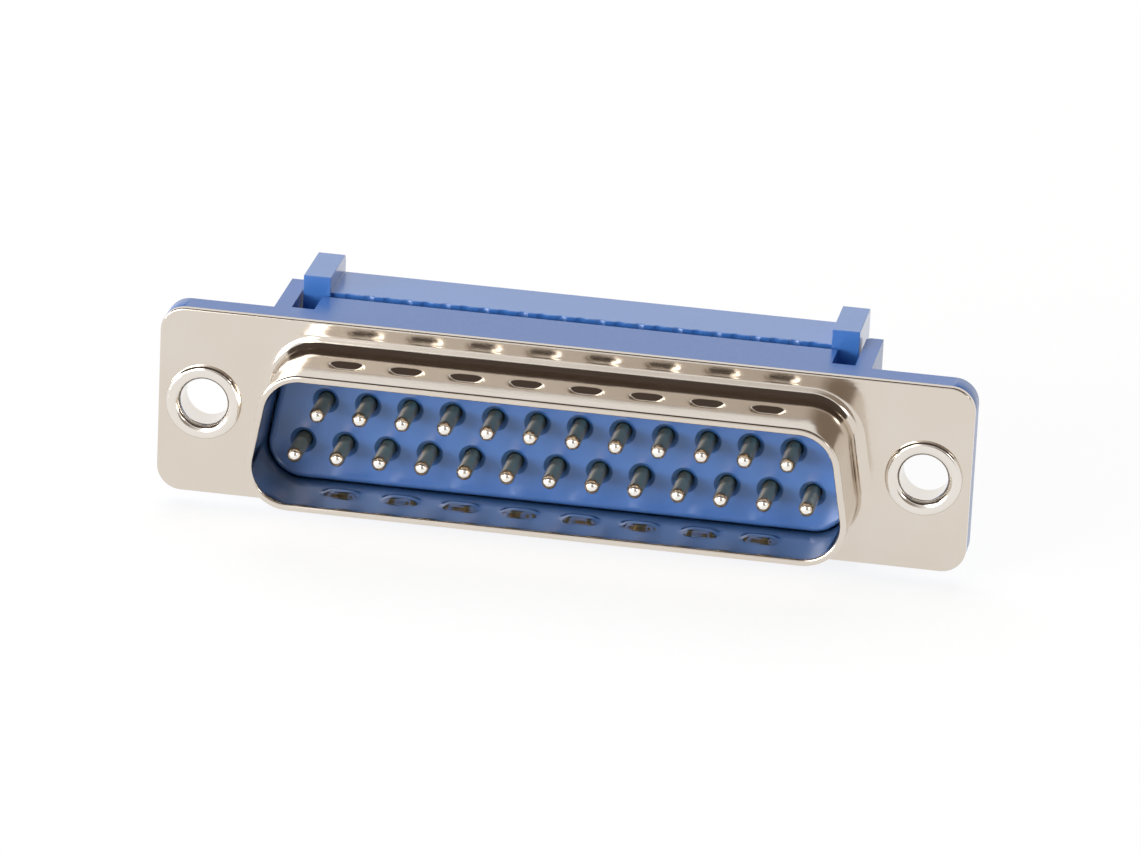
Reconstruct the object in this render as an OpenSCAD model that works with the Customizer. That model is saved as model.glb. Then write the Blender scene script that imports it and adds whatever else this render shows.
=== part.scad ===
// D-sub plug, 25 contacts, for flat ribbon cable (insulation displacement).
// X runs along the connector, the mating face looks to -Y and Z is up, with the wide row below.
// The origin is on the front of the metal flange, midway between the two fixing holes. Millimetres.

/* [Contacts] */
// Distance between neighbouring pins of one row
pin_pitch = 2.77; // [2.6:0.01:3]
// Distance between the two rows of pins
row_spacing = 2.84; // [2.6:0.02:3.2]
// Diameter of a pin
pin_dia = 1.02; // [0.9:0.01:1.1]
// How far the pin tips lie behind the edge of the shroud
tip_depth = 1.4; // [1:0.1:2.5]
// Thickness of the contact strip
strip_t = 0.3; // [0.25:0.01:0.4]
// Width of the insulation-cutting fork
fork_w = 1.5; // [1.3:0.05:1.7]
// Slot of the fork, a little under the conductor's diameter
fork_slot = 0.24; // [0.2:0.01:0.3]
// How far the fork stands behind the rear block
fork_reach = 3.2; // [2.8:0.1:3.4]
// Distance between neighbouring ribbon conductors
ribbon_pitch = 1.27; // [1.25:0.01:1.3]

/* [Shell] */
// Depth of the shroud in front of the flange
shroud_depth = 5.8; // [5:0.1:7]
// Inner height of the shroud
shroud_h = 8.36; // [8:0.02:9]
// Room from the end pin of the wide row to the shroud's inner corner
side_room = 2.86; // [2.6:0.02:3.2]
// Lean of the shroud's short sides
side_lean = 10; // [6:1:12]
// Inner corner radius of the shroud
corner_r = 2.4; // [1.8:0.1:3]
// Thickness of the sheet metal
sheet = 0.45; // [0.35:0.01:0.55]
// Radius of the bend between flange and shroud
root_r = 0.8; // [0.5:0.05:1]
// Rounding of the shroud's sheared edge
rim_r = 0.14; // [0.05:0.01:0.16]
// Height of the flange
flange_h = 12.55; // [12:0.05:14]
// Corner radius of the flange
flange_r = 1.6; // [0.8:0.1:2.5]
// Distance from the shroud's inner corner to the fixing hole's centre
hole_gap = 4.04; // [3.8:0.02:4.6]
// Distance from the fixing hole's centre to the end of the flange
hole_edge = 3; // [2.8:0.1:4]

/* [Grounding dents] */
// Distance between neighbouring dents
dent_pitch = 3.9; // [3.4:0.1:4.2]
// Depth of a dent
dent_depth = 0.26; // [0.15:0.01:0.3]
// Length of a dent between the centres of its round ends
dent_len = 0.9; // [0.5:0.1:1.2]
// Radius of the punch that made a dent
dent_r = 0.95; // [0.7:0.05:1.2]
// Distance from the flange to the middle of the dents
dent_y = 3; // [2.8:0.1:3.8]

/* [Eyelets] */
// Bore of an eyelet
eyelet_bore = 3.1; // [2.6:0.05:3.3]
// Wall of an eyelet's barrel
eyelet_wall = 0.3; // [0.2:0.02:0.4]
// Diameter of an eyelet's rolled lip
lip_dia = 5; // [4.7:0.05:5.4]
// Height of the rolled lip
lip_h = 0.35; // [0.3:0.05:0.5]
// Straight part of the lip's edge
lip_flat = 0.1; // [0.05:0.05:0.2]
// Radius of the flare inside an eyelet's mouth
flare_r = 0.5; // [0.3:0.05:0.55]

/* [Insulator] */
// How far the contact face stands in front of the flange
face_y = 1.2; // [0.9:0.1:2]
// Rounding of the contact face's edge
face_r = 0.5; // [0.3:0.05:0.8]
// Thickness of the insulator's flange
flange_t = 1.6; // [1.4:0.1:2.4]
// Depth of the rear block behind the insulator's flange
block_d = 2.8; // [2.4:0.1:4]
// Diameter of the countersink round each pin
well_dia = 1.75; // [1.6:0.05:1.9]
// Depth of the countersink round each pin
well_d = 0.35; // [0.2:0.05:0.6]
// Wall of the end towers
tower_w = 1.1; // [1:0.05:1.5]
// How far the end towers stand behind the rear block
tower_reach = 2.8; // [2.6:0.1:4]

/* [Cover] */
// Gap between rear block and cover, with the cover pressed home
ribbon_gap = 0.7; // [0.6:0.05:1]
// Depth of the cover bar
cover_d = 4.5; // [4.3:0.1:6]
// Height of the cover bar
cover_h = 12.7; // [12:0.1:14]
// Radius of the grooves that hold the ribbon
groove_r = 0.62; // [0.56:0.01:0.63]
// Depth of the ribbon grooves
groove_d = 0.12; // [0.1:0.01:0.25]
// Room beside the ribbon's edge conductor
ribbon_side = 0.575; // [0.4:0.025:1]
// Width of the raised ends
ear_w = 1.8; // [1.3:0.05:2]
// Height of the raised ends
ear_h = 15; // [14.6:0.1:17]
// How far the raised ends reach in front of the cover bar
ear_lead = 0.4; // [0.2:0.05:0.5]
// Height of the latch arms
arm_h = 8.8; // [6:0.1:10]
// How far the latch hooks stand out
hook_w = 0.35; // [0.25:0.01:0.4]
// Length of the latch hooks
hook_d = 0.9; // [0.7:0.05:1.1]
// Wall that stops the latch hooks at the open position
stop_w = 0.7; // [0.5:0.05:1]

/* [Fits] */
// Clearance of a contact in its hole
contact_fit = 0.05; // [0.02:0.01:0.08]
// Clearance of the insulator in the shroud
shell_fit = 0.06; // [0.03:0.01:0.12]
// Clearance of an eyelet in its holes
eyelet_fit = 0.06; // [0.03:0.01:0.1]
// Running clearance of the cover in the insulator
cover_fit = 0.15; // [0.1:0.01:0.2]
// Edge chamfer of the moulded parts
edge = 0.25; // [0.1:0.05:0.3]

/* [Hidden] */
$fn = 64;
cut = 1; // how far a cutter runs past what it cuts
proud = 0.01; // how much a corner arc stands out of the sides that it joins
tongue = 0.1; // how far the bend's thin end runs into the flange
lap = 1; // angle by which a corner arc runs into the sides, ending before it dips under them
wide_row = 13;
narrow_row = wide_row - 1;
contacts = wide_row + narrow_row;
dents = 8;

// shroud and flange
shroud_w = (wide_row - 1) * pin_pitch + 2 * side_room;
hole_spacing = shroud_w + 2 * hole_gap;
flange_w = hole_spacing + 2 * hole_edge;
centre_z = shroud_h / 2 - corner_r;
low_x = shroud_w / 2 - corner_r * tan(side_lean) - corner_r / cos(side_lean);
high_x = shroud_w / 2 - (shroud_h - corner_r) * tan(side_lean) - corner_r / cos(side_lean);
outer_r = corner_r + sheet;
bend_r = outer_r + root_r;
d_corners = [[low_x, -centre_z], [high_x, centre_z], [-high_x, centre_z], [-low_x, -centre_z]];
d_normals = [side_lean, 90, 180 - side_lean, 270]; // outward direction of the side after each corner

// planes behind the flange, from front to rear
plastic_front = sheet;
plastic_rear = plastic_front + flange_t;
block_rear = plastic_rear + block_d;
cover_front = block_rear + ribbon_gap;
cover_rear = cover_front + cover_d;
ear_front = cover_front - ear_lead;
tower_rear = block_rear + tower_reach;
slot_floor = plastic_rear + edge;
fork_tip = block_rear + fork_reach;

// widths at the ends, from the ribbon outwards
block_side = 0.45; // rear block beyond the ribbon's edge
ear_in = contacts * ribbon_pitch / 2 + ribbon_side;
ear_out = ear_in + ear_w;
block_x = ear_in + block_side;
arm_in = block_x + cover_fit;
tower_in = ear_out + cover_fit;
tower_out = tower_in + tower_w;
arm_front = slot_floor + cover_fit;

// contacts
pin_r = pin_dia / 2;
pin_tip = tip_depth - shroud_depth;
pin_end = plastic_front + flange_t / 2;
jog_start = pin_end + pin_r;
jog_end = block_rear - fork_w;
fork_root = block_rear + strip_t;
tine_cut = 0.3; // what the taper takes off a tine's point
tine_taper = 0.7; // length of the tines' outer taper
mouth_w = 0.75; // mouth of the fork, where the conductor enters
mouth_d = 0.75; // depth of the fork's mouth

function contact_name(i) = str("contact_", i < 10 ? "0" : "", i);
function in_wide_row(i) = i <= wide_row;
// place of a contact in its row, counted from the middle, with contact 1 at +X
function row_place(i) = in_wide_row(i) ? (wide_row + 1) / 2 - i : wide_row + (narrow_row + 1) / 2 - i;
function pin_x(i) = row_place(i) * pin_pitch;
// outward direction of the side before corner i
function d_before(i) = i == 0 ? d_normals[3] - 360 : d_normals[i - 1];
function fork_x(i) = row_place(i) * 2 * ribbon_pitch;
function pin_z(i) = in_wide_row(i) ? -row_spacing / 2 : row_spacing / 2;

// Runs along +Y from y0 to y1 what is drawn with X to the right and Z up
module along_y(y0, y1) {
    translate([0, y1, 0]) rotate([90, 0, 0]) linear_extrude(y1 - y0) children();
}

// A box between two opposite corners
module block(low, high) {
    translate(low) cube(high - low);
}

module both_ends() {
    children();
    mirror([1, 0, 0]) children();
}

// Sweeps a section round the D outline. The section's x runs outwards from the centres of the
// four corner arcs, and its y is the part's Y. The first child is the section along the sides and
// the second is the corners' own, a hair larger, so that the pieces cross and never just touch.
module d_sweep() {
    for (i = [0:3]) {
        from = d_corners[i];
        to = d_corners[(i + 1) % 4];
        translate([from.x, 0, from.y]) rotate([0, -d_normals[i], 0]) linear_extrude(norm(to - from)) children(0);
        translate([from.x, 0, from.y]) rotate([-90, 0, 0]) rotate([0, 0, -d_normals[i] - lap])
            rotate_extrude(angle = d_normals[i] - d_before(i) + 2 * lap) children(1);
    }
}

// A solid D with the corner radius r, from y0 to y1
module d_solid(r, y0, y1) {
    along_y(y0, y1) polygon([for (i = [0:3], a = [d_before(i), d_normals[i]])
                             d_corners[i] + (r - proud) * [cos(a), sin(a)]]);
    for (p = d_corners) translate([p.x, y0, p.y]) rotate([-90, 0, 0]) cylinder(r = r, h = y1 - y0);
}

// A flange plate with round corners
module plate(y0, y1) {
    x = flange_w / 2;
    z = flange_h / 2;
    block([-x + flange_r, y0, -z], [x - flange_r, y1, z]);
    block([-x, y0, -z + flange_r], [x, y1, z - flange_r]);
    for (sx = [-1, 1], sz = [-1, 1])
        translate([sx * (x - flange_r), y0, sz * (z - flange_r)]) rotate([-90, 0, 0])
            cylinder(r = flange_r, h = y1 - y0);
}

// Both fixing holes, of the given diameter
module fixing_holes(dia, y0, y1) {
    both_ends() translate([hole_spacing / 2, y0, 0]) rotate([-90, 0, 0]) cylinder(d = dia, h = y1 - y0);
}

// Section of the drawn sheet: shroud wall, sheared rim and the bend, whose tongue runs into the flange
module shell_section(grow) {
    bend = [bend_r, -root_r];
    difference() {
        translate([corner_r - grow, -shroud_depth]) square([bend_r - corner_r + grow, shroud_depth + sheet]);
        translate([outer_r + grow, -shroud_depth - cut]) square([root_r + cut, shroud_depth - root_r + cut]);
        translate(bend) circle(root_r - grow);
        translate(bend) rotate(90) corner_cutter(root_r + sheet + grow);
        translate([bend_r - tongue, sheet / 2]) square(tongue + cut);
        translate([corner_r - grow + rim_r, rim_r - shroud_depth]) rotate(180) corner_cutter(rim_r);
        translate([outer_r + grow - rim_r, rim_r - shroud_depth]) rotate(-90) corner_cutter(rim_r);
    }
}

// What rounds a corner that points along +X and +Y from the centre of its arc
module corner_cutter(r) {
    difference() {
        square(r + cut);
        circle(r);
    }
}

// A rounded bar along X: the punch of a dent, or the metal pushed in by it
module punch(r) {
    translate([-dent_len / 2, 0, 0]) rotate([0, 90, 0]) cylinder(r = r, h = dent_len);
    for (side = [-1, 1]) translate([side * dent_len / 2, 0, 0]) sphere(r);
}

// Places what is drawn at the middle of each dent, with +Z out of the wall
module at_dents() {
    for (side = [0, 1], i = [0:dents - 1])
        mirror([0, 0, side]) translate([(i - (dents - 1) / 2) * dent_pitch, -dent_y, shroud_h / 2 + sheet])
            children();
}

module front_shell() {
    lift = dent_r - dent_depth;
    reach = dent_r + sheet;
    color([0.86, 0.82, 0.77]) difference() {
        union() {
            difference() {
                plate(0, sheet);
                d_solid(bend_r - 2 * tongue, -cut, sheet + cut);
                fixing_holes(eyelet_bore + 2 * (eyelet_wall + eyelet_fit), -cut, sheet + cut);
            }
            d_sweep() {
                shell_section(0);
                shell_section(proud);
            }
            at_dents() intersection() {
                translate([0, 0, lift]) punch(reach);
                block([-reach - dent_len, -reach, -reach], [reach + dent_len, reach, -sheet / 2]);
            }
        }
        at_dents() translate([0, 0, lift]) punch(dent_r);
    }
}

// Outline of a contact strip seen from above, widened all round by grow
module strip_outline(i, grow, rear) {
    px = pin_x(i);
    fx = fork_x(i);
    pw = pin_r + grow;
    fw = fork_w / 2 + grow;
    polygon([[px - pw, pin_end], [px + pw, pin_end], [px + pw, jog_start], [fx + fw, jog_end],
             [fx + fw, rear], [fx - fw, rear], [fx - fw, jog_end], [px - pw, jog_start]]);
}

module insulator_body() {
    z = flange_h / 2;
    color([0.2, 0.42, 0.75]) difference() {
        union() {
            plate(plastic_front, plastic_rear);
            contact_face(corner_r - shell_fit);
            block([-tower_out, plastic_rear, -z], [tower_out, slot_floor, z]);
            block([-block_x, slot_floor, -z], [block_x, block_rear, z]);
            both_ends() tower();
        }
        fixing_holes(eyelet_bore + 2 * (eyelet_wall + eyelet_fit), plastic_front - cut, plastic_rear + cut);
        for (i = [1:contacts]) contact_hole(i);
    }
}

// The D-shaped block inside the shroud that carries the pins, with a rounded front edge
module contact_face(r) {
    d_solid(r - 1.5 * face_r, -face_y, plastic_front);
    d_sweep() {
        face_edge(r - proud);
        face_edge(r);
    }
}

// Section of the contact face's rounded edge
module face_edge(r) {
    difference() {
        translate([r - 2 * face_r, -face_y]) square([2 * face_r, face_y + plastic_front]);
        translate([r - face_r, face_r - face_y]) rotate(-90) corner_cutter(face_r);
    }
}

// An end tower: it guides the cover's raised end, and its channel catches the latch hook
module tower() {
    z = flange_h / 2;
    channel_z = arm_h / 2 + cover_fit;
    difference() {
        block([tower_in, slot_floor, -z], [tower_out, tower_rear, z]);
        block([tower_in - cut, slot_floor, -channel_z],
              [ear_out + hook_w + cover_fit, tower_rear - stop_w, channel_z]);
        // lead-in for the raised end
        translate([tower_in, tower_rear, 0]) rotate([0, 0, 45])
            cube([edge * sqrt(2), edge * sqrt(2), 2 * z + 2 * cut], center = true);
    }
}

// The hole of one contact: countersink, pin hole and the flat pocket of the strip
module contact_hole(i) {
    slot_t = strip_t + 2 * contact_fit;
    hole_r = pin_r + contact_fit;
    translate([pin_x(i), -face_y, pin_z(i)]) rotate([-90, 0, 0]) {
        translate([0, 0, -cut]) cylinder(r = hole_r, h = cut + face_y + pin_end + contact_fit);
        cylinder(r1 = well_dia / 2, r2 = hole_r, h = well_d);
    }
    translate([0, 0, pin_z(i) - slot_t / 2]) linear_extrude(slot_t)
        strip_outline(i, contact_fit, block_rear + cut);
}

// A stamped contact: pin with a round nose, strip that changes pitch, and slotted fork
module contact(i) {
    fx = fork_x(i);
    color(in_wide_row(i) ? [0.93, 0.88, 0.78] : [0.9, 0.84, 0.7]) {
        translate([pin_x(i), pin_tip + pin_r, pin_z(i)]) {
            sphere(pin_r);
            rotate([-90, 0, 0]) cylinder(r = pin_r, h = pin_end - pin_tip - pin_r);
        }
        translate([0, 0, pin_z(i) - strip_t / 2]) linear_extrude(strip_t) difference() {
            strip_outline(i, 0, fork_tip);
            // slot between the tines, with a round end and a wide mouth
            translate([fx, fork_root]) circle(fork_slot / 2);
            translate([fx - fork_slot / 2, fork_root]) square([fork_slot, fork_reach + cut]);
            polygon([[fx - mouth_w / 2, fork_tip], [fx - mouth_w / 2, fork_tip + cut],
                     [fx + mouth_w / 2, fork_tip + cut], [fx + mouth_w / 2, fork_tip], [fx, fork_tip - mouth_d]]);
            for (side = [-1, 1]) translate([fx + side * fork_w / 2, fork_tip])
                polygon([[0, -tine_taper], [side * cut, -tine_taper], [side * cut, cut],
                         [-side * tine_cut, cut], [-side * tine_cut, 0]]);
        }
    }
}

// An eyelet: a barrel through both flanges with a flared and rolled lip at each end
module eyelet() {
    rotate([-90, 0, 0]) rotate_extrude() difference() {
        union() {
            translate([eyelet_bore / 2, -lip_h / 2]) square([eyelet_wall, plastic_rear + lip_h]);
            lip();
            translate([0, plastic_rear]) mirror([0, 1]) lip();
        }
        flare();
        translate([0, plastic_rear]) mirror([0, 1]) flare();
    }
}

// Section of a rolled lip, lying on the front of the flange
module lip() {
    roll = lip_h - lip_flat;
    difference() {
        translate([eyelet_bore / 2, -lip_h]) square([(lip_dia - eyelet_bore) / 2, lip_h]);
        translate([lip_dia / 2 - roll, roll - lip_h]) rotate(-90) corner_cutter(roll);
    }
}

// What the flare takes off the eyelet's mouth
module flare() {
    translate([eyelet_bore / 2 + flare_r, flare_r - lip_h]) rotate(180) corner_cutter(flare_r);
}

module flange_eyelets() {
    color([0.88, 0.85, 0.8]) both_ends() translate([hole_spacing / 2, 0, 0]) eyelet();
}

module rear_cover() {
    z = cover_h / 2;
    pocket_w = fork_w + 2 * cover_fit;
    pocket_t = strip_t + 2 * cover_fit;
    color([0.22, 0.45, 0.78]) difference() {
        union() {
            translate([-ear_in, 0, 0]) rotate([90, 0, 90]) linear_extrude(2 * ear_in)
                polygon([[cover_front, -z], [cover_rear - edge, -z], [cover_rear, -z + edge],
                         [cover_rear, z - edge], [cover_rear - edge, z], [cover_front, z]]);
            both_ends() raised_end();
        }
        for (i = [1:contacts]) {
            // ribbon groove over the whole height
            translate([(i - (contacts + 1) / 2) * ribbon_pitch, cover_front - groove_r + groove_d, -z - cut])
                cylinder(r = groove_r, h = 2 * z + 2 * cut);
            // pocket for the fork
            block([fork_x(i) - pocket_w / 2, cover_front - cut, pin_z(i) - pocket_t / 2],
                  [fork_x(i) + pocket_w / 2, fork_tip + cover_fit, pin_z(i) + pocket_t / 2]);
        }
    }
}

// A raised end of the cover with its latch arm
module raised_end() {
    z = ear_h / 2;
    translate([ear_in, 0, 0]) rotate([90, 0, 90]) linear_extrude(ear_w)
        polygon([[ear_front, -z], [cover_rear - edge, -z], [cover_rear, -z + edge],
                 [cover_rear, z - edge], [cover_rear - edge, z], [ear_front, z]]);
    translate([0, 0, -arm_h / 2]) linear_extrude(arm_h)
        polygon([[arm_in, arm_front], [ear_out, arm_front], [ear_out + hook_w, arm_front + hook_w],
                 [ear_out + hook_w, arm_front + hook_d], [ear_out, arm_front + hook_d],
                 [ear_out, ear_front], [arm_in, ear_front]]);
}

front_shell();
insulator_body();
rear_cover();
flange_eyelets();
for (i = [1:contacts]) contact(i);
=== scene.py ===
import bpy
import bmesh
import math
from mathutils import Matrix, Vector


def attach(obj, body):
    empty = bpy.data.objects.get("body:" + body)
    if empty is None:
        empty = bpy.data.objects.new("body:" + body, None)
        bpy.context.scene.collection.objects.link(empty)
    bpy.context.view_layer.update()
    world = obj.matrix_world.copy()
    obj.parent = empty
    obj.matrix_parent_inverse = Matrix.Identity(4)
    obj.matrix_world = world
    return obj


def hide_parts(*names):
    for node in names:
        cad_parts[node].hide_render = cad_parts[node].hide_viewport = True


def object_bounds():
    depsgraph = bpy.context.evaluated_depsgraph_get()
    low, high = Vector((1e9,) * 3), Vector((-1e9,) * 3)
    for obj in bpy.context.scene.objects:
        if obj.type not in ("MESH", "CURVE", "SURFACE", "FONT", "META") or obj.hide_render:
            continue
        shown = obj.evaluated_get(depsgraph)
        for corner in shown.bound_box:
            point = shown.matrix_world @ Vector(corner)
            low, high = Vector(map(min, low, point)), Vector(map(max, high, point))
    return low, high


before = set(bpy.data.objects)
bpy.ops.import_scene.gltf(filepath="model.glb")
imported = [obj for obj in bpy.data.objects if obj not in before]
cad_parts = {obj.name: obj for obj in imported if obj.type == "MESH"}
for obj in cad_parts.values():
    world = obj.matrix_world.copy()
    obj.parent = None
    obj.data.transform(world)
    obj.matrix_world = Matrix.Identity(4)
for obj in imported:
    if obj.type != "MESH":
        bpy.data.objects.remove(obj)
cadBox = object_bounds()
print("frame loaded:", len(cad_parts), "nodes")

mm = 0.001
sharpAngle = math.radians(35)  # edges that bend more than this stay crisp
scene = bpy.context.scene
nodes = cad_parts


def newMaterial(name):
    mat = bpy.data.materials.new(name)
    mat.use_nodes = True
    tree = mat.node_tree
    return mat, tree, tree.nodes["Principled BSDF"]


def addNode(tree, kind, **settings):
    node = tree.nodes.new(kind)
    for key, value in settings.items():
        if key in node.inputs:
            node.inputs[key].default_value = value
        else:
            setattr(node, key, value)
    return node


def noiseField(tree, coords, scale, detail=3.0, stretch=(1, 1, 1)):
    # object-space noise, scale in features per metre
    mapping = addNode(tree, "ShaderNodeMapping")
    mapping.inputs["Scale"].default_value = stretch
    tree.links.new(coords, mapping.inputs["Vector"])
    noise = addNode(tree, "ShaderNodeTexNoise", Scale=scale, Detail=detail)
    tree.links.new(mapping.outputs[0], noise.inputs["Vector"])
    return noise.outputs["Fac"]


def spread(tree, value, low, high, fromLow=0.3, fromHigh=0.7):
    node = addNode(tree, "ShaderNodeMapRange")
    node.inputs["From Min"].default_value = fromLow
    node.inputs["From Max"].default_value = fromHigh
    node.inputs["To Min"].default_value = low
    node.inputs["To Max"].default_value = high
    tree.links.new(value, node.inputs["Value"])
    return node.outputs[0]


def blendColours(tree, value, first, second):
    mix = addNode(tree, "ShaderNodeMix", data_type="RGBA")
    mix.inputs[6].default_value = (*first, 1)
    mix.inputs[7].default_value = (*second, 1)
    tree.links.new(value, mix.inputs[0])
    return mix.outputs[2]


def addBump(tree, bsdf, heights, strength, distance):
    # heights: list of height outputs, the last one ends up on top
    last = None
    for height in heights:
        bump = addNode(tree, "ShaderNodeBump", Strength=strength, Distance=distance)
        tree.links.new(height, bump.inputs["Height"])
        if last:
            tree.links.new(last, bump.inputs["Normal"])
        last = bump.outputs[0]
    tree.links.new(last, bsdf.inputs["Normal"])


def dress(obj, mat):
    obj.data.materials.clear()
    obj.data.materials.append(mat)


def makeNickel(name, look):
    # bright nickel over drawn steel: rolling lines along X, faint orange peel
    mat, tree, bsdf = newMaterial(name)
    coords = addNode(tree, "ShaderNodeTexCoord").outputs["Object"]
    cloud = noiseField(tree, coords, look["cloudScale"])
    warmth = spread(tree, cloud, 0, 1)
    tint = blendColours(tree, warmth, look["colour"], look["colourWarm"])
    tree.links.new(tint, bsdf.inputs["Base Color"])
    lines = noiseField(tree, coords, look["lineScale"], 4, (0.06, 1, 1))
    rough = spread(tree, lines, look["roughLow"], look["roughHigh"])
    tree.links.new(rough, bsdf.inputs["Roughness"])
    peel = noiseField(tree, coords, look["peelScale"], 2)
    addBump(tree, bsdf, [peel, lines], look["bump"], look["bumpDepth"])
    bsdf.inputs["Metallic"].default_value = 1
    if "gold" in look:
        # gold along the shaft, pale at the tip: the pale tip is a painted highlight
        along = addNode(tree, "ShaderNodeSeparateXYZ")
        tree.links.new(coords, along.inputs[0])
        place = addNode(tree, "ShaderNodeMath", operation="MULTIPLY_ADD")
        tree.links.new(cloud, place.inputs[0])
        place.inputs[1].default_value = look["goldRagged"]
        tree.links.new(along.outputs["Y"], place.inputs[2])
        share = spread(tree, place.outputs[0], 0, 1, look["goldFrom"], look["goldTo"])
        goldAndPaintedTip = blendColours(tree, share, look["colour"], look["gold"])
        tree.links.new(goldAndPaintedTip, bsdf.inputs["Base Color"])
    return mat


def makePlastic(name, look):
    # glass-filled moulding: fine grain, faint flow marks
    mat, tree, bsdf = newMaterial(name)
    coords = addNode(tree, "ShaderNodeTexCoord").outputs["Object"]
    flow = noiseField(tree, coords, look["flowScale"], 3, (0.3, 1, 1))
    depth = spread(tree, flow, 0, 1)
    tint = blendColours(tree, depth, look["colour"], look["colourDeep"])
    tree.links.new(tint, bsdf.inputs["Base Color"])
    grain = noiseField(tree, coords, look["grainScale"], 2)
    rough = spread(tree, grain, look["roughLow"], look["roughHigh"])
    tree.links.new(rough, bsdf.inputs["Roughness"])
    addBump(tree, bsdf, [flow, grain], look["bump"], look["bumpDepth"])
    bsdf.inputs["IOR"].default_value = look["ior"]
    bsdf.inputs["Coat Weight"].default_value = look["sheen"]
    bsdf.inputs["Coat Roughness"].default_value = look["sheenRough"]
    return mat


shellLook = {
    "colour": (0.705, 0.64, 0.57),
    "colourWarm": (0.68, 0.61, 0.53),
    "cloudScale": 180,
    "lineScale": 2600,
    "peelScale": 1400,
    "roughLow": 0.08,
    "roughHigh": 0.14,
    "bump": 0.1,
    "bumpDepth": 0.00003,
}

eyeletLook = dict(
    shellLook,
    colour=(0.79, 0.75, 0.695),
    colourWarm=(0.76, 0.71, 0.65),
    roughLow=0.1,
    roughHigh=0.17,
)

pinLook = dict(
    shellLook,
    # pale tip colour, a painted highlight on the pin tips
    colour=(0.87, 0.84, 0.79),
    colourWarm=(0.85, 0.81, 0.74),
    gold=(0.84, 0.54, 0.2),
    goldFrom=-4.15 * mm,  # along Y, where the gold starts and where it is full
    goldTo=-3.8 * mm,
    goldRagged=0.3 * mm,
    cloudScale=500,
    roughLow=0.14,
    roughHigh=0.24,
)

# the insulator's blue, painted darker than the cover's: painted shade on the insulator
shadedInsulatorLook = {
    "colour": (0.042, 0.158, 0.5),
    "colourDeep": (0.035, 0.14, 0.46),
    "flowScale": 160,
    "grainScale": 9000,
    "roughLow": 0.28,
    "roughHigh": 0.38,
    "bump": 0.12,
    "bumpDepth": 0.00002,
    "ior": 1.6,
    "sheen": 0.45,
    "sheenRough": 0.26,
}

# the same blue plastic as the insulator, painted lighter: painted light on the cover
litCoverLook = dict(
    shadedInsulatorLook,
    colour=(0.056, 0.205, 0.6),
    colourDeep=(0.048, 0.185, 0.56),
    sheen=0.9,
    sheenRough=0.16,
)

sheetNickel = makeNickel("sheetNickel", shellLook)
eyeletNickel = makeNickel("eyeletNickel", eyeletLook)
pinGoldAndPaintedTip = makeNickel("pinGoldAndPaintedTip", pinLook)
shadedBluePlastic = makePlastic("shadedBluePlastic", shadedInsulatorLook)
litCoverPlastic = makePlastic("litCoverPlastic", litCoverLook)
print("materials ready")


shell = {
    "shroudW": 38.96,  # inside width of the shroud, at its wide side
    "shroudH": 8.36,
    "lean": 10,  # degrees
    "cornerR": 2.4,
    "sheet": 0.45,
    "depth": 5.8,
    "rootR": 0.8,
    "rimR": 0.14,
    "flangeW": 53.04,
    "flangeH": 12.55,
    "flangeR": 1.6,
    "edgeRoll": 0.1,  # rounding of the flange's sheared edge
    "edgeBreak": 0.03,  # small chamfer at the back of that edge
    "holeSpacing": 47.04,
    "holeR": 1.91,
    "dents": 8,
    "dentPitch": 3.9,
    "dentLen": 0.9,
    "dentR": 0.95,
    "dentDepth": 0.26,
    "dentY": -3,
    "dentSoft": 0.05,  # how softly a dent runs out into the wall
}

# how finely the shell is divided
shellSteps = {
    "longSide": 220,
    "shortSide": 30,
    "corner": 18,
    "wall": 36,
    "bend": 10,
    "rim": 4,
    "flangeCorner": 12,
    "edge": 4,
    "hole": 48,
}
flatMargin = 0.06  # mm of flat sheet beside a bend, which keeps its shading clean
longSideNormal = 0.999  # a wall that faces up or down more than this carries the dents


def outlineStations(size, longSteps, shortSteps, arcSteps):
    # (centre x, centre z, normal x, normal z) round the D, closed
    lean = math.radians(size["lean"])
    r = size["cornerR"]
    centreZ = size["shroudH"] / 2 - r
    lowX = size["shroudW"] / 2 - r * math.tan(lean) - r / math.cos(lean)
    highX = size["shroudW"] / 2 - (size["shroudH"] - r) * math.tan(lean) - r / math.cos(lean)
    corners = [(lowX, -centreZ), (highX, centreZ), (-highX, centreZ), (-lowX, -centreZ)]
    angles = [size["lean"], 90, 180 - size["lean"], 270]
    stations = []
    for i in range(4):
        before = angles[i - 1] - (360 if i == 0 else 0)
        for k in range(arcSteps):
            a = math.radians(before + (angles[i] - before) * k / arcSteps)
            stations.append((*corners[i], math.cos(a), math.sin(a)))
        a = math.radians(angles[i])
        nextCorner = corners[(i + 1) % 4]
        steps = longSteps if i % 2 else shortSteps
        for k in range(steps):
            t = k / steps
            x = corners[i][0] + (nextCorner[0] - corners[i][0]) * t
            z = corners[i][1] + (nextCorner[1] - corners[i][1]) * t
            stations.append((x, z, math.cos(a), math.sin(a)))
    return stations


def arcPoints(cx, cy, r, start, end, steps):
    return [
        (cx + r * math.cos(math.radians(start + (end - start) * k / steps)),
         cy + r * math.sin(math.radians(start + (end - start) * k / steps)))
        for k in range(steps + 1)
    ]


def dentAt(size, x, y, radius):
    # how far the wall is pushed in at this place
    nearest = 1e9
    for i in range(size["dents"]):
        middle = (i - (size["dents"] - 1) / 2) * size["dentPitch"]
        dx = max(abs(x - middle) - size["dentLen"] / 2, 0)
        nearest = min(nearest, math.hypot(dx, y - size["dentY"]))
    if nearest > 2 * radius:
        return 0
    floorLevel = radius - size["dentDepth"]
    if nearest < radius:
        height = math.sqrt(radius ** 2 - nearest ** 2) - floorLevel
    else:
        height = -floorLevel - (nearest - radius)
    soft = size["dentSoft"]
    return 0.5 * (height + math.sqrt(height ** 2 + soft ** 2))


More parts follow.
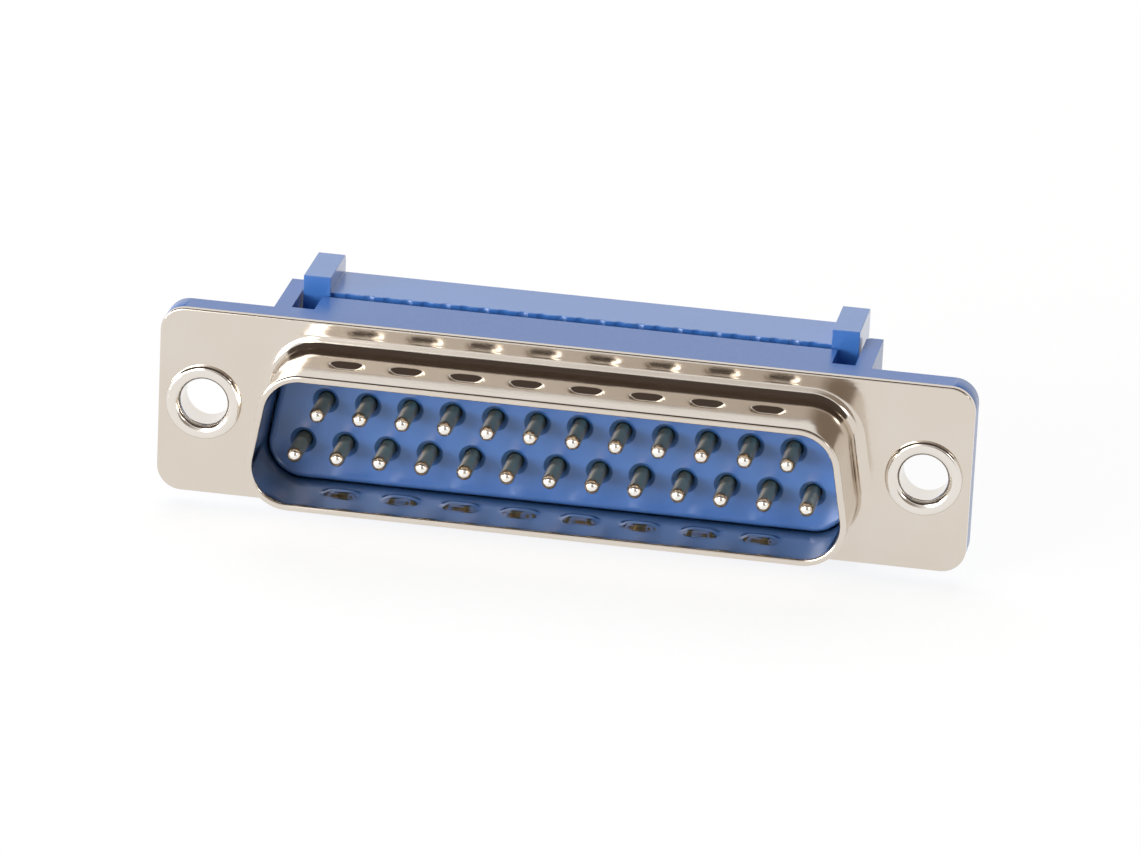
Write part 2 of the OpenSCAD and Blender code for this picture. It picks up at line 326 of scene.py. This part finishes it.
def roundedRectangle(w, h, r, steps):
    points = []
    for cx, cz, start in [(w / 2 - r, h / 2 - r, 0), (r - w / 2, h / 2 - r, 90),
                          (r - w / 2, r - h / 2, 180), (w / 2 - r, r - h / 2, 270)]:
        points += arcPoints(cx, cz, r, start, start + 90, steps)
    return points


def addLoop(bm, points):
    return [bm.verts.new(p) for p in points]


def bridge(bm, first, second):
    n = len(first)
    for k in range(n):
        bm.faces.new((first[k], first[(k + 1) % n], second[(k + 1) % n], second[k]))


def fillFlat(bm, loops):
    edges = []
    for loop in loops:
        for k in range(len(loop)):
            a, b = loop[k], loop[(k + 1) % len(loop)]
            edges.append(bm.edges.get((a, b)) or bm.edges.new((a, b)))
    bmesh.ops.triangle_fill(bm, use_beauty=True, use_dissolve=False, edges=edges)


def makeObject(name, bm, mat):
    mesh = bpy.data.meshes.new(name)
    bmesh.ops.recalc_face_normals(bm, faces=bm.faces)
    bm.to_mesh(mesh)
    bm.free()
    obj = bpy.data.objects.new(name, mesh)
    scene.collection.objects.link(obj)
    mesh.shade_smooth()
    mesh.set_sharp_from_angle(angle=sharpAngle)
    mesh.materials.append(mat)
    return obj


def buildShell(size, steps):
    bm = bmesh.new()
    stations = outlineStations(size, steps["longSide"], steps["shortSide"], steps["corner"])
    outerR = size["cornerR"] + size["sheet"]
    bendR = outerR + size["rootR"]
    rim = size["rimR"]
    tip = -size["depth"]
    rows = steps["wall"]
    wallStart = -size["rootR"]
    wallEnd = tip + rim
    wallY = [wallStart + (wallEnd - wallStart) * k / rows for k in range(1, rows)]

    def bend(centreR, centreY, radius, start, end, count):
        return [(r, y, 0) for r, y in arcPoints(centreR, centreY, radius, start, end, count)]

    # from the front of the flange out to the rim and back along the inside: (r, y, dent radius)
    section = [(bendR + flatMargin, 0, 0)]
    section += bend(bendR, wallStart, size["rootR"], 90, 180, steps["bend"])
    section += [(outerR, y, size["dentR"]) for y in wallY]
    section += bend(outerR - rim, wallEnd, rim, 0, -90, steps["rim"])
    section += bend(size["cornerR"] + rim, wallEnd, rim, -90, -180, steps["rim"])
    section += [(size["cornerR"], y, size["dentR"] + size["sheet"]) for y in reversed(wallY)]
    section += bend(bendR, wallStart, size["rootR"] + size["sheet"], 180, 90, steps["bend"])
    section += [(bendR + flatMargin, size["sheet"], 0)]

    loops = []
    for r, y, dentR in section:
        loop = []
        for cx, cz, nx, nz in stations:
            dented = dentR and abs(nz) > longSideNormal
            push = dentAt(size, cx, y, dentR) if dented else 0
            loop.append(((cx + (r - push) * nx) * mm, y * mm, (cz + (r - push) * nz) * mm))
        loops.append(addLoop(bm, loop))
    for first, second in zip(loops, loops[1:]):
        bridge(bm, first, second)

    # flange plate: edge profile from the front face over the edge to the rear face
    roll = size["edgeRoll"]
    w, h, t = size["flangeW"], size["flangeH"], size["sheet"]
    edgeBreak = size["edgeBreak"]
    profile = [(roll + flatMargin, 0)]
    for k in range(steps["edge"] + 1):
        a = math.radians(90 * k / steps["edge"])
        profile.append((roll - roll * math.sin(a), roll - roll * math.cos(a)))
    profile += [(0, t - edgeBreak), (edgeBreak, t), (edgeBreak + flatMargin, t)]
    edgeLoops = []
    for inset, y in profile:
        ring = roundedRectangle(w - 2 * inset, h - 2 * inset, size["flangeR"] - inset,
                                steps["flangeCorner"])
        edgeLoops.append(addLoop(bm, [(x * mm, y * mm, z * mm) for x, z in ring]))
    for first, second in zip(edgeLoops, edgeLoops[1:]):
        bridge(bm, first, second)
    holeFronts, holeRears = [], []
    holeAngles = [2 * math.pi * k / steps["hole"] for k in range(steps["hole"])]
    for side in (-1, 1):
        rings = []
        for y in (0, t):
            circle = [(side * size["holeSpacing"] / 2 + size["holeR"] * math.cos(a), y,
                       size["holeR"] * math.sin(a)) for a in holeAngles]
            rings.append(addLoop(bm, [Vector(p) * mm for p in circle]))
        bridge(bm, rings[0], rings[1])
        holeFronts.append(rings[0])
        holeRears.append(rings[1])
    fillFlat(bm, [edgeLoops[0], loops[0]] + holeFronts)
    fillFlat(bm, [edgeLoops[-1], loops[-1]] + holeRears)
    return makeObject("drawnShell", bm, sheetNickel)


drawnShell = buildShell(shell, shellSteps)
weighted = drawnShell.modifiers.new("weightedNormals", "WEIGHTED_NORMAL")
weighted.mode = "FACE_AREA"
weighted.keep_sharp = True
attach(drawnShell, "plug")
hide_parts("front_shell")
print("drawn shell:", len(drawnShell.data.polygons), "faces")


moulding = {
    "edge": 0.04,  # mm, rounding of the moulded edges
    "edgeSteps": 2,
    "weld": 0.001,  # mm
    "flatAngle": 0.5,  # degrees, facets flatter than this become one face
}


def softenEdges(obj, size):
    # weld and merge flat facets, then round every real edge
    weld = obj.modifiers.new("weld", "WELD")
    weld.merge_threshold = size["weld"] * mm
    flat = obj.modifiers.new("flat", "DECIMATE")
    flat.decimate_type = "DISSOLVE"
    flat.angle_limit = math.radians(size["flatAngle"])
    bevel = obj.modifiers.new("bevel", "BEVEL")
    bevel.width = size["edge"] * mm
    bevel.segments = size["edgeSteps"]
    bevel.limit_method = "ANGLE"
    bevel.angle_limit = sharpAngle
    bevel.use_clamp_overlap = True
    normals = obj.modifiers.new("normals", "WEIGHTED_NORMAL")
    normals.mode = "FACE_AREA"


dress(nodes["insulator_body"], shadedBluePlastic)
dress(nodes["rear_cover"], litCoverPlastic)
softenEdges(nodes["insulator_body"], moulding)
softenEdges(nodes["rear_cover"], moulding)
dress(nodes["flange_eyelets"], eyeletNickel)
for name in nodes:
    if name.startswith("contact_"):
        dress(nodes[name], pinGoldAndPaintedTip)
print("CAD pieces dressed")


studio = {
    "floorColour": (0.9, 0.895, 0.89),
    "floorShade": 0.985,  # the darker tone of the floor's clouds, as a share of its colour
    "floorCloud": 6,
    "floorRough": 0.9,
    "floorSize": 3.0,
    # how much of the floor is plain white to the camera and in reflections, and how bright
    "floorGlow": 0.8,
    "floorWhite": 1.08,
    "worldLevel": 0.08,
    "lights": [
        # name, place, size, power, colour, seen in reflections
        ("keyLight", (-0.5, -0.42, 0.12), (0.2, 0.2), 2.1, (1, 0.985, 0.96), True),
        ("stripLight", (-0.3, -0.58, 0.34), (0.2, 0.56), 1.1, (1, 0.99, 0.97), True),
        ("sideLight", (0.46, -0.44, 0.3), (0.14, 0.14), 0.35, (1, 0.99, 0.97), True),
        ("cornerLight", (-0.27, -0.52, 0.08), (0.26, 0.18), 0.8, (1, 1, 1), True),
        ("topLight", (-0.1, 0.3, 0.7), (0.7, 0.7), 4.0, (1, 1, 1), False),
    ],
    # painted reflections: dark sheets seen only in reflections, painting dark reflections on
    # metal and plastic; the front one glows white at its left end, a painted highlight
    "paintedReflections": [
        # name, place, tilt in degrees, size, tone, share of the width over which it fades in
        ("overheadPaintedReflection", (0, 0.17, 0.8), 0, (3.4, 1.86), (0.085, 0.066, 0.056), 0),
        ("frontPaintedReflection", (0.2, -0.8, 0.32), 90, (0.8, 0.62), (0.34, 0.29, 0.25), 0.4),
    ],
}


def seenRays(tree):
    # 1 for camera, glossy and transmission rays
    path = addNode(tree, "ShaderNodeLightPath")
    first = addNode(tree, "ShaderNodeMath", operation="MAXIMUM")
    second = addNode(tree, "ShaderNodeMath", operation="MAXIMUM")
    tree.links.new(path.outputs["Is Camera Ray"], first.inputs[0])
    tree.links.new(path.outputs["Is Glossy Ray"], first.inputs[1])
    tree.links.new(first.outputs[0], second.inputs[0])
    tree.links.new(path.outputs["Is Transmission Ray"], second.inputs[1])
    return second.outputs[0]


def makeWorld(level):
    world = bpy.data.worlds.new("studioWorld")
    world.use_nodes = True
    tree = world.node_tree
    background = tree.nodes["Background"]
    background.inputs["Color"].default_value = (1, 1, 1, 1)
    strength = addNode(tree, "ShaderNodeMapRange")
    strength.inputs["To Min"].default_value = level
    strength.inputs["To Max"].default_value = 1
    tree.links.new(seenRays(tree), strength.inputs["Value"])
    tree.links.new(strength.outputs[0], background.inputs["Strength"])
    scene.world = world


def makeFloor(level, look):
    bm = bmesh.new()
    bmesh.ops.create_grid(bm, x_segments=4, y_segments=4, size=look["floorSize"] / 2)
    mat, tree, bsdf = newMaterial("paleFloor")
    coords = addNode(tree, "ShaderNodeTexCoord").outputs["Object"]
    cloud = noiseField(tree, coords, look["floorCloud"])
    colour = look["floorColour"]
    tint = blendColours(tree, cloud, colour, tuple(c * look["floorShade"] for c in colour))
    tree.links.new(tint, bsdf.inputs["Base Color"])
    bsdf.inputs["Roughness"].default_value = look["floorRough"]
    white = addNode(tree, "ShaderNodeEmission", Strength=look["floorWhite"])
    share = addNode(tree, "ShaderNodeMath", operation="MULTIPLY")
    share.inputs[1].default_value = look["floorGlow"]
    tree.links.new(seenRays(tree), share.inputs[0])
    mix = addNode(tree, "ShaderNodeMixShader")
    tree.links.new(share.outputs[0], mix.inputs[0])
    tree.links.new(bsdf.outputs[0], mix.inputs[1])
    tree.links.new(white.outputs[0], mix.inputs[2])
    tree.links.new(mix.outputs[0], tree.nodes["Material Output"].inputs["Surface"])
    obj = makeObject("floor", bm, mat)
    obj.location = (0, 0, level)


def addArea(name, place, size, power, colour, inReflections):
    # a soft light aimed at the origin
    light = bpy.data.lights.new(name, "AREA")
    light.shape = "RECTANGLE"
    light.size, light.size_y = size
    light.energy = power
    light.color = colour
    obj = bpy.data.objects.new(name, light)
    obj.location = place
    obj.rotation_euler = (-Vector(place)).to_track_quat("-Z", "Y").to_euler()
    obj.visible_glossy = inReflections
    scene.collection.objects.link(obj)


def addPaintedReflection(name, place, tilt, size, tone, fade):
    # a sheet that only reflections see, a painted reflection in its tone; if it fades, its left
    # part glows white, a painted highlight
    bm = bmesh.new()
    bmesh.ops.create_grid(bm, x_segments=1, y_segments=1, size=0.5)
    bmesh.ops.scale(bm, vec=(*size, 1), verts=bm.verts)
    mat, tree, bsdf = newMaterial(name)
    glow = addNode(tree, "ShaderNodeEmission", Color=(*tone, 1))
    if fade:
        across = addNode(tree, "ShaderNodeSeparateXYZ")
        tree.links.new(addNode(tree, "ShaderNodeTexCoord").outputs["Object"], across.inputs[0])
        left = -size[0] / 2
        share = spread(tree, across.outputs["X"], 0, 1, left, left + fade * size[0])
        tree.links.new(blendColours(tree, share, (1, 1, 1), tone), glow.inputs["Color"])
    tree.links.new(glow.outputs[0], tree.nodes["Material Output"].inputs["Surface"])
    obj = makeObject(name, bm, mat)
    obj.location = place
    obj.rotation_euler = (math.radians(tilt), 0, 0)
    obj.visible_camera = False
    obj.visible_diffuse = False
    obj.visible_shadow = False


makeWorld(studio["worldLevel"])
makeFloor(cadBox[0][2], studio)
for light in studio["lights"]:
    addArea(*light)
for card in studio["paintedReflections"]:
    addPaintedReflection(*card)
print("studio ready")


view = {
    "place": (73.44, -450.1, 174.1),  # mm
    "turn": (69.178, -2.561, 10.174),  # degrees
    "lens": 240,
    "sensor": 36,
    "near": 0.01,
}

cameraData = bpy.data.cameras.new("camera")
cameraData.lens = view["lens"]
cameraData.sensor_width = view["sensor"]
cameraData.clip_start = view["near"]
camera = bpy.data.objects.new("camera", cameraData)
camera.location = Vector(view["place"]) * mm
camera.rotation_euler = [math.radians(a) for a in view["turn"]]
scene.collection.objects.link(camera)
scene.camera = camera
scene.view_settings.view_transform = "Standard"
